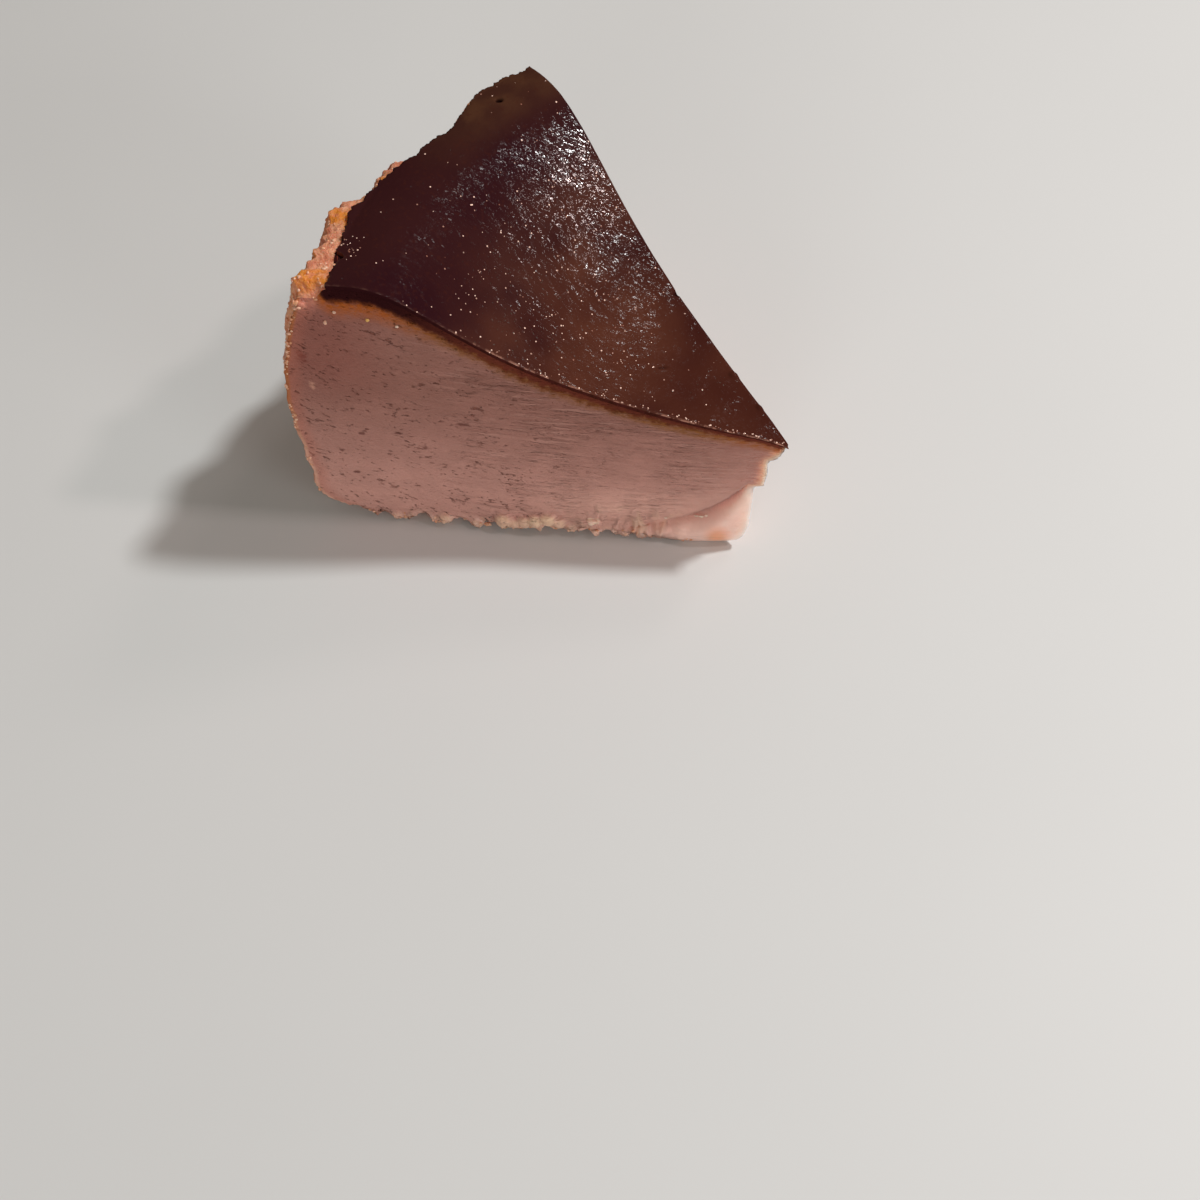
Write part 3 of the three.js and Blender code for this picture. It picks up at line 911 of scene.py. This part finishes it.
def curdFinish():
    # the soft inside on the cuts: dark and amber bands under the skin, pores, dragged lines
    material, tree, shader, place = newFinish("bakedCurd")
    radius, height, across = (value(tree, label) for label in ("radius", "height", "across"))
    byRim, lowEdge, footward, smeary = (
        value(tree, label) for label in ("byRim", "lowEdge", "footPart", "smudge"))
    # along the knife's way on the cut, which dips near the rim
    beyond = (radius - 35.0).calc("MAXIMUM", 0.0)
    level = height - beyond * beyond * 0.005
    cut = vector(tree, radius, level, across * 8.0)
    # partly painted light: darker at the top and paler towards the bottom, partly as the curd is baked
    # darker near the top and partly for the light thrown up from the floor
    colour = blend(height.fall(2.0, 36.0), curdColours["upper"], curdColours["lower"])
    # paler towards the lower right by the foot, partly smeared cream and partly painted light thrown up from
    # the floor
    smeared = radius.fall(28.0, 44.0) * height.fall(6.0, 16.0)
    colour = blend(smeared * 0.85, colour, curdColours["smudge"])
    # painted highlight and shade on the smeared folds: cream on their crests, the pore colour between them
    waves = cut.stretched(0.36, 0.13).grain(1.0, 1.5, 0.5, 0.7)
    colour = blend(smeary * waves.ramp(0.0, 0.5, 0.5, 0.66), colour, curdColours["cream"])
    colour = blend(smeary * waves.ramp(0.16, 0.0, 0.34, 0.48), colour, curdColours["pore"])
    # painted shade in the hollow above the foot's crease
    colour = blend(value(tree, "hollow") * 0.3, colour, curdColours["hollow"])
    # painted highlight: paler along the lower edge, where the tips of the teeth catch light
    litLowEdge = lowEdge * place.grain(1.4, 3.0).ramp(0.2, 1.0, 0.38, 0.6)
    colour = blend(litLowEdge, colour, curdColours["edge"])
    # cream on the lumps; on the last lump, high by the rim, it is a painted highlight
    creamy = value(tree, "cream") * place.grain(1.2, 2.0).ramp(0.75, 1.0, 0.35, 0.6)
    colour = blend(creamy, colour, curdColours["cream"])
    # the foot's pale fresh curd, made paler still as painted light for the light it catches
    colour = blend(footward * 0.9, colour, curdColours["foot"])
    uneven = (place.grain(0.7, 3.0, 0.6) - 0.5) * 2.6
    onFront = across.calc("LESS_THAN", 0.02)
    for atRadius, atHeight, long, high, tint in cutSpots:
        aside = (radius - atRadius) / long
        up = (height - atHeight) / high
        away = (aside * aside + up * up).calc("SQRT")
        if tint not in ("tinge", "glow"):
            away = away + uneven
        spot = away.ramp(0.75, 0.0, 0.2, 1.3) * onFront
        colour = blend(spot, colour, curdColours[tint])
    cloud = place.grain(5.0, 4.0, 0.6).ramp(0.94, 1.05, 0.3, 0.7)
    shade = vector(tree, cloud, cloud, cloud)
    colour = blend(1.0, colour, shade, "MULTIPLY")
    # painted glow: the broken edge of the tip is painted pale for the light that comes through its thin curd
    tipGlow = value(tree, "fromTip") + uneven * 0.4
    tipGlow = tipGlow.ramp(0.7, 0.0, 0.1, 2.0) * (1.0 - footward)
    colour = blend(tipGlow, colour, curdColours["glow"])
    # lines that the knife dragged, mostly in the middle and by the tip, with painted shade in their grooves
    # and a painted highlight along their ridges
    lines = cut.stretched(0.15, 1.3).grain(1.0, 2.0, 0.6, 0.6)
    groups = cut.stretched(0.1, 0.16).grain(1.0, 1.0)
    dragged = groups.ramp(0.35, 1.0, 0.4, 0.6) * radius.ramp(1.0, 0.2, 42.0, 58.0)
    dragged = dragged * (1.0 - footward)
    groove = lines.ramp(0.0, 0.15, 0.52, 0.66) * dragged
    colour = blend(groove, colour, curdColours["pore"])
    ridge = lines.fall(0.34, 0.48) * dragged
    colour = blend(ridge * 0.22, colour, curdColours["smudge"])
    blush = radius.ramp(0.0, 0.45, 54.0, 68.0) * height.rise(26.0, 40.0)
    colour = blend(blush, colour, curdColours["blush"])
    # rougher and pinker by the torn rim
    tornPart = byRim * place.grain(1.5, 3.0).ramp(0.7, 1.0, 0.35, 0.6)
    tornTones = blend(place.grain(1.2, 3.0).rise(0.35, 0.65), curdColours["pink"], curdColours["torn"])
    colour = blend(tornPart, colour, tornTones)
    # pores: short ragged dashes in loose groups, painted darker for the shade inside them
    crowd = cut.stretched(0.2, 0.25).grain(1.0, 2.0)
    crowd = (crowd - 0.5) * 0.35
    dashes = cut.stretched(0.95, 1.9).grain(1.0, 2.0, 0.5, 0.3) + crowd
    pits = cut.stretched(0.8, 1.1).grain(1.0, 3.0, 0.6) + crowd
    pore = dashes.ramp(0.0, 0.8, 0.65, 0.76).calc("MAXIMUM", pits.rise(0.64, 0.73))
    pore = pore * radius.ramp(0.2, 1.0, 24.0, 46.0) * (1.0 - footward.calc("MAXIMUM", smeared))
    colour = blend(pore * 0.55, colour, curdColours["pore"])
    # ragged bands under the skin
    ragged = (place.grain(1.1, 4.0, 0.65) - 0.5) * radius.ramp(1.3, 0.6, 44.0, 56.0)
    burn = value(tree, "burn") + ragged
    deep = burn / radius.ramp(1.0, 1.45, 44.0, 57.0)
    amber = (deep / radius.ramp(1.7, 1.0, 6.0, 30.0)).fall(0.9, 2.0)
    streak = cut.stretched(0.6, 1.6).grain(1.0, 3.0, 0.6).ramp(0.5, 0.95, 0.35, 0.6)
    byWall = radius.rise(48.0, 58.0)
    ambers = blend(byWall, curdColours["amber"], curdColours["toasted"])
    ambers = blend(radius.ramp(0.9, 0.0, 3.0, 16.0), ambers, curdColours["tipAmber"])
    patchy = place.grain(0.8, 3.0, 0.65).ramp(0.1, 1.0, 0.38, 0.56)
    streak = streak.calc("MAXIMUM", byWall * patchy)
    colour = blend(amber * streak, colour, ambers)
    toasted = place.grain(1.8, 3.0).ramp(0.45, 0.95, 0.4, 0.6) * burn.fall(0.9, 1.5)
    colour = blend(toasted, colour, curdColours["brown"])
    charred = blend(radius.ramp(0.0, 0.9, 42.0, 57.0), curdColours["burnt"], burntColours["plum"])
    colour = blend(deep.fall(0.6, 1.05), colour, charred)
    # thin rind along the wall
    rindEdge = value(tree, "fromWall") + ragged * 0.5
    colour = blend(rindEdge.ramp(0.4, 0.0, 0.6, 3.4), colour, curdColours["pink"])
    rind = blend(height.rise(14.0, 32.0), curdColours["paleRind"], curdColours["rind"])
    colour = blend(rindEdge.ramp(0.85, 0.0, 0.3, 0.9), colour, rind)
    moist = (byRim * 0.5 + footward * 0.5 + lowEdge * 0.6 + 0.06) * burn.rise(1.0, 2.0)
    setInputs(shader, Base_Color=colour, Roughness=0.5, IOR=1.4, Specular_IOR_Level=0.0,
              Subsurface_Weight=radius.ramp(0.9, 0.12, 3.0, 20.0), Subsurface_Scale=0.004,
              Subsurface_Radius=(1.0, 0.8, 0.72), Coat_Weight=moist, Coat_Roughness=0.25)
    rough = cut.stretched(1.5, 2.8).grain(1.0, 4.0, 0.65) * (1.0 - footward * 0.8)
    bumps(tree, shader, [(waves * smeary, 3.0), (lines * dragged, -1.25), (rough, 0.4), (pore, -0.45)])
    return material


rimPatches = [(1.9, 1.2), (11.8, 1.5), (18.6, 2.6), (30, 2.5), (41, 3.0)]  # angle, half width

rimColours = palette(
    pink=(214, 130, 100), pale=(230, 162, 126), orange=(222, 134, 40), toast=(170, 96, 54),
    wall=(190, 126, 80), wallDark=(138, 78, 42), cream=(244, 188, 150),
)


def tornFinish():
    # crumbly torn rim: pink with toasted orange patches
    material, tree, shader, place = newFinish("tornRim")
    colour = blend(place.grain(1.6, 3.0).rise(0.35, 0.65), rimColours["pink"], rimColours["pale"])
    # toasted patches round the rim
    angle = value(tree, "across") * wedge["angle"] + (place.grain(1.8, 3.0) - 0.5) * 3.0
    broken = place.grain(1.1, 3.0, 0.6).ramp(0.3, 1.0, 0.34, 0.52)
    for middle, half in rimPatches:
        away = (angle - middle).calc("ABSOLUTE")
        patch = away.ramp(0.95, 0.0, half * 0.5, half * 1.3) * broken
        colour = blend(patch, colour, rimColours["orange"])
    brown = place.grain(2.4, 3.0, 0.6).ramp(0.0, 0.7, 0.56, 0.68)
    colour = blend(brown * 0.5, colour, rimColours["toast"])
    setInputs(shader, Base_Color=colour, Roughness=0.34, IOR=1.45, Subsurface_Weight=0.4,
              Subsurface_Scale=0.002, Subsurface_Radius=(1.0, 0.45, 0.25))
    bumps(tree, shader, [(place.grain(0.7, 4.0, 0.65), 0.45)])
    return material


def wallFinish():
    # baked wall and base: toasted brown patches, more of them higher up, and pink and orange by the rim
    material, tree, shader, place = newFinish("bakedWall")
    height, across = value(tree, "height"), value(tree, "across")
    colour = blend(place.grain(3.0, 4.0, 0.6).rise(0.35, 0.65), rimColours["wall"], rimColours["pink"])
    patch = place.grain(7.0, 4.0, 0.6).rise(0.4, 0.6)
    toast = patch * (height.rise(14.0, 46.0) * 0.7 + 0.2)
    colour = blend(toast, colour, rimColours["wallDark"])
    byTop = blend(patch, rimColours["pink"], rimColours["orange"])
    colour = blend(height.ramp(0.0, 0.9, 36.0, 46.0), colour, byTop)
    # crumbly and paler where the front cut goes through it
    pale = blend(place.grain(1.2, 3.0, 0.6).rise(0.3, 0.75), rimColours["pink"], rimColours["cream"])
    colour = blend(across.ramp(0.7, 0.0, 0.01, 0.1), colour, pale)
    setInputs(shader, Base_Color=colour, Roughness=0.55, IOR=1.45, Subsurface_Weight=0.1,
              Subsurface_Scale=0.002)
    bumps(tree, shader, [(place.grain(1.2, 4.0, 0.6), 0.3)])
    return material


# loose bits of curd on the front cut: radius, height, length, thickness, whiteness (yellow below 0)
# the four white bits by the foot's crease, whiteness 1, are painted glints of wet highlight
lumps = [
    (30.4, 4.1, 1.9, 1.6, 0.6), (64.2, 48.7, 0.45, 0.45, 0.6), (59.7, 47.7, 0.5, 0.5, -1.0),
    (55.7, 46.9, 0.4, 0.45, 0.7), (65.9, 46.6, 0.4, 0.7, 0.4), (13.6, 6.1, 0.9, 0.3, 1.0),
    (12.8, 6.5, 0.8, 0.4, 1.0), (12.1, 7.0, 0.5, 0.4, 1.0), (18.6, 5.0, 0.4, 0.25, 1.0),
    (56.0, 0.6, 1.0, 0.8, 0.1), (44.1, 1.0, 1.2, 0.9, 0.2), (40.4, 1.4, 1.2, 1.0, 0.1),
    (36.6, 1.6, 1.3, 1.0, 0.2), (47.9, 0.7, 1.0, 0.7, 0.1), (61.6, 0.7, 0.9, 0.7, 0.1),
]


def makeLumps(material):
    body = bmesh.new()
    white = body.verts.layers.float.new("white")
    along, out = Vector((-math.cos(halfAngle), -math.sin(halfAngle), 0)), Vector(frontNormal)
    for number, (radius, height, long, thick, whiteness) in enumerate(lumps):
        x, y, z = toSpace(np.float64(radius), np.float64(0), np.float64(height))
        ball = bmesh.ops.create_icosphere(body, subdivisions=4, radius=1)
        for corner in ball["verts"]:
            wave = noise.noise(corner.co * 1.6 + Vector((number * 3.1, 0, 0)))
            ridge = noise.noise(corner.co * 4 + Vector((0, number * 2.3, 0)))
            reach = corner.co * (1 + 0.4 * wave + 0.1 * ridge)
            lift = Vector((0, 0, reach.z * thick / 2))
            place = Vector((x, y, z)) + along * reach.x * long / 1.7 + out * reach.y * thick * 0.45 + lift
            corner[white] = whiteness
            corner.co = place * mm
    mesh = bpy.data.meshes.new("curd_lumps")
    for face in body.faces:
        face.smooth = True
    body.to_mesh(mesh)
    body.free()
    mesh.materials.append(material)
    return addObject("curd_lumps", mesh)


crumbColours = palette(
    pale=(242, 190, 162), toast=(216, 148, 108), white=(252, 230, 212), yellow=(242, 190, 108),
)


def crumbFinish():
    material, tree, shader, place = newFinish("looseCrumbs")
    colour = blend(place.grain(1.5, 2.0).rise(0.4, 0.65), crumbColours["pale"], crumbColours["toast"])
    white = value(tree, "white")
    colour = blend(white.ramp(0.0, 0.8), colour, crumbColours["white"])
    colour = blend(white.fall(-1.0, 0.0), colour, crumbColours["yellow"])
    setInputs(shader, Base_Color=colour, Roughness=0.4, IOR=1.45, Subsurface_Weight=0.2,
              Subsurface_Scale=0.001)
    bumps(tree, shader, [(place.grain(0.3, 2.0), 0.05)])
    return material


beadColours = palette(brown=(140, 88, 70), bright=(255, 216, 196))


def glossFinish():
    # beads of sugar and fat that sparkle on the skin; their pale tone is a painted glint
    material, tree, shader, place = newFinish("glossBeads")
    colour = blend(place.grain(1.3, 2.0).rise(0.35, 0.65), beadColours["brown"], beadColours["bright"])
    setInputs(shader, Base_Color=colour, Roughness=0.14, IOR=1.5, Coat_Weight=1.0, Coat_Roughness=0.05)
    bumps(tree, shader, [(place.grain(0.2, 1.0), 0.01)])
    return material


# floor, light and camera
studio = {
    "floor": (paint(209, 212, 211), paint(206, 209, 208)),
    "key": {"turn": 43, "rise": 57, "far": 1000, "size": 90, "power": 6.3},
    "window": {"turn": 68, "rise": 47, "far": 900, "size": 180, "power": 0.6, "tint": (1, 0.8, 0.77)},
    "sheen": {"turn": 24, "rise": 48, "far": 900, "size": 66, "power": 1.4, "tint": (1, 0.84, 0.82)},
    "fill": {"turn": -12, "rise": 16, "far": 900, "size": 400, "power": 1.6},
    "front": {"turn": -75, "rise": 19, "far": 900, "size": 350, "power": 1.25},
    "aimHeight": 25,  # where the lamps point, over the middle of the base
    "room": (1.0, 0.86, 0.73, 1), "roomStrength": 0.2,
    "floorReach": 3000,
}

view = {
    "place": (83.04, -120.11, 189.52), "down": 58.28, "turn": 33.77, "roll": -3.78,
    "lens": 42, "sensor": 36,
}


def addFloor():
    material, tree, shader, place = newFinish("paleFloor")
    setInputs(shader, Base_Color=blend(place.grain(60.0, 2.0), *studio["floor"]), Roughness=0.6)
    size = studio["floorReach"] * mm
    mesh = bpy.data.meshes.new("floor")
    corners = [(-size, -size, 0), (size, -size, 0), (size, size, 0), (-size, size, 0)]
    mesh.from_pydata(corners, [], [(0, 1, 2, 3)])
    mesh.materials.append(material)
    floor = addObject("floor", mesh)


def addLamp(name, turn, rise, far, size, power, tint=(1, 1, 1)):
    lamp = bpy.data.lights.new(name, "AREA")
    lamp.shape = "DISK"
    lamp.size = size * mm
    lamp.energy = power
    lamp.color = tint
    thing = addObject(name, lamp)
    turn, rise = math.radians(turn), math.radians(rise)
    level = math.cos(rise)
    towards = Vector((math.cos(turn) * level, math.sin(turn) * level, math.sin(rise)))
    thing.location = towards * far * mm + Vector((0, 0, studio["aimHeight"] * mm))
    thing.rotation_euler = towards.to_track_quat("Z", "Y").to_euler()


def addLight():
    for name in ("key", "window", "sheen", "fill", "front"):
        addLamp(name, **studio[name])
    world = bpy.data.worlds.new("softRoom")
    world.use_nodes = True
    background = world.node_tree.nodes["Background"]
    setInputs(background, Color=studio["room"], Strength=studio["roomStrength"])
    scene.world = world
    scene.view_settings.view_transform = "Standard"


def addCamera():
    down, turn, roll = (math.radians(view[key]) for key in ("down", "turn", "roll"))
    right = Vector((math.cos(turn), math.sin(turn), 0))
    ahead = Vector((-math.sin(turn) * math.cos(down), math.cos(turn) * math.cos(down), -math.sin(down)))
    up = right.cross(ahead)
    across = math.cos(roll) * right + math.sin(roll) * up
    upward = -math.sin(roll) * right + math.cos(roll) * up
    lens = bpy.data.cameras.new("view")
    lens.lens = view["lens"]
    lens.sensor_width = view["sensor"]
    lens.clip_start = 0.01
    camera = addObject("view", lens)
    camera.matrix_world = Matrix((across, upward, -ahead)).transposed().to_4x4()
    camera.location = Vector(view["place"]) * mm
    scene.camera = camera


addFloor()
addLight()
addCamera()
print("floor, light and camera are set")

wallPaint = wallFinish()
curd = makeCurd([curdFinish(), wallPaint, tornFinish(), wallPaint])
curd.data = applyTree(curd, curdReliefTree(), curdRelief, "curdRelief")
print("curd has", len(curd.data.polygons), "faces")

skin = makeSkin([burntFinish(), burntSideFinish()])
skin.data = applyTree(skin, skinReliefTree(), skinRelief, "skinRelief")
print("burnt skin has", len(skin.data.polygons), "faces")

crumbPaint = crumbFinish()
lumpPiece = makeLumps(crumbPaint)
print("curd lumps have", len(lumpPiece.data.polygons), "faces")

crumbSizes = {
    "Per square cm": 260.0, "Smallest": 0.1, "Largest": 0.3, "Flatness": 0.7, "Lumpiness": 0.5, "Seed": 4,
}
crumbShares = {"rim": 0.14, "corner": 0.5, "byRim": 0.4, "low": 0.3}


def whereCrumbs(curdAt):
    # on the torn rim, down the corner of wall and cut, and along the lower edge of the front cut
    radius, height, across, fromWall = (
        curdAt[label] for label in ("radius", "height", "across", "fromWall"))
    corner = (np.abs(fromWall) < 0.5) * (height > 6) * (across < 0.012)
    byRim = (fromWall < 0.3) * (height > 37) * (across < 0.07)
    low = (height < 1.6) * (radius > 14) * (fromWall > 0.5) * (across == 0)
    places = {"rim": curdAt["onRim"], "corner": corner, "byRim": byRim, "low": low}
    return np.max([places[label] * share for label, share in crumbShares.items()], axis=0)


crumbs = strew("curd_crumbs", curd, whereCrumbs, crumbSizes, crumbPaint)
print("curd crumbs have", len(crumbs.data.polygons), "faces")

beadSizes = {
    "Per square cm": 420.0, "Smallest": 0.05, "Largest": 0.14, "Flatness": 0.4, "Lumpiness": 0.2,
    "Seed": 11,
}
beadShares = {"all": 0.008, "middle": 0.02, "cluster": 0.16, "patch": 0.5, "lip": 0.9}


def whereBeads(skinAt):
    # over the top, thickest in its middle, on a patch by the rim and in a row along the front lip
    radius, angle = skinAt["radius"], skinAt["across"] * wedge["angle"]
    middle = smooth(radius, 8, 24) * fade(radius, 46, 56)
    patch = smooth(radius, 61, 62.5) * smooth(angle, 3.5, 5) * fade(angle, 8, 9.5)
    inFront = radius * np.sin(np.radians(angle))
    lip = smooth(inFront, 0.1, 0.3) * fade(inFront, 0.5, 0.8)
    lip = lip * np.maximum(fade(radius, 30, 50), np.exp(-((radius - 53.8) / 1.2) ** 2))
    cluster = smooth(ripple(radius, 1.7, 21) * ripple(angle + 0.3 * radius, 1.9, 22), 0.02, 0.3)
    places = {"all": 1, "middle": middle, "cluster": middle * cluster, "patch": patch, "lip": lip}
    share = sum(places[label] * share for label, share in beadShares.items())
    return np.minimum(1, share) * (skinAt["burn"] == 0) * (skinAt["nearest"] > 0.1)


beads = strew("gloss_beads", skin, whereBeads, beadSizes, glossFinish())
print("gloss beads have", len(beads.data.polygons), "faces")

for piece in (curd, skin, lumpPiece, crumbs, beads):
    flattenBase(piece)
    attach(piece, "root")
    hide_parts("cake_slice")
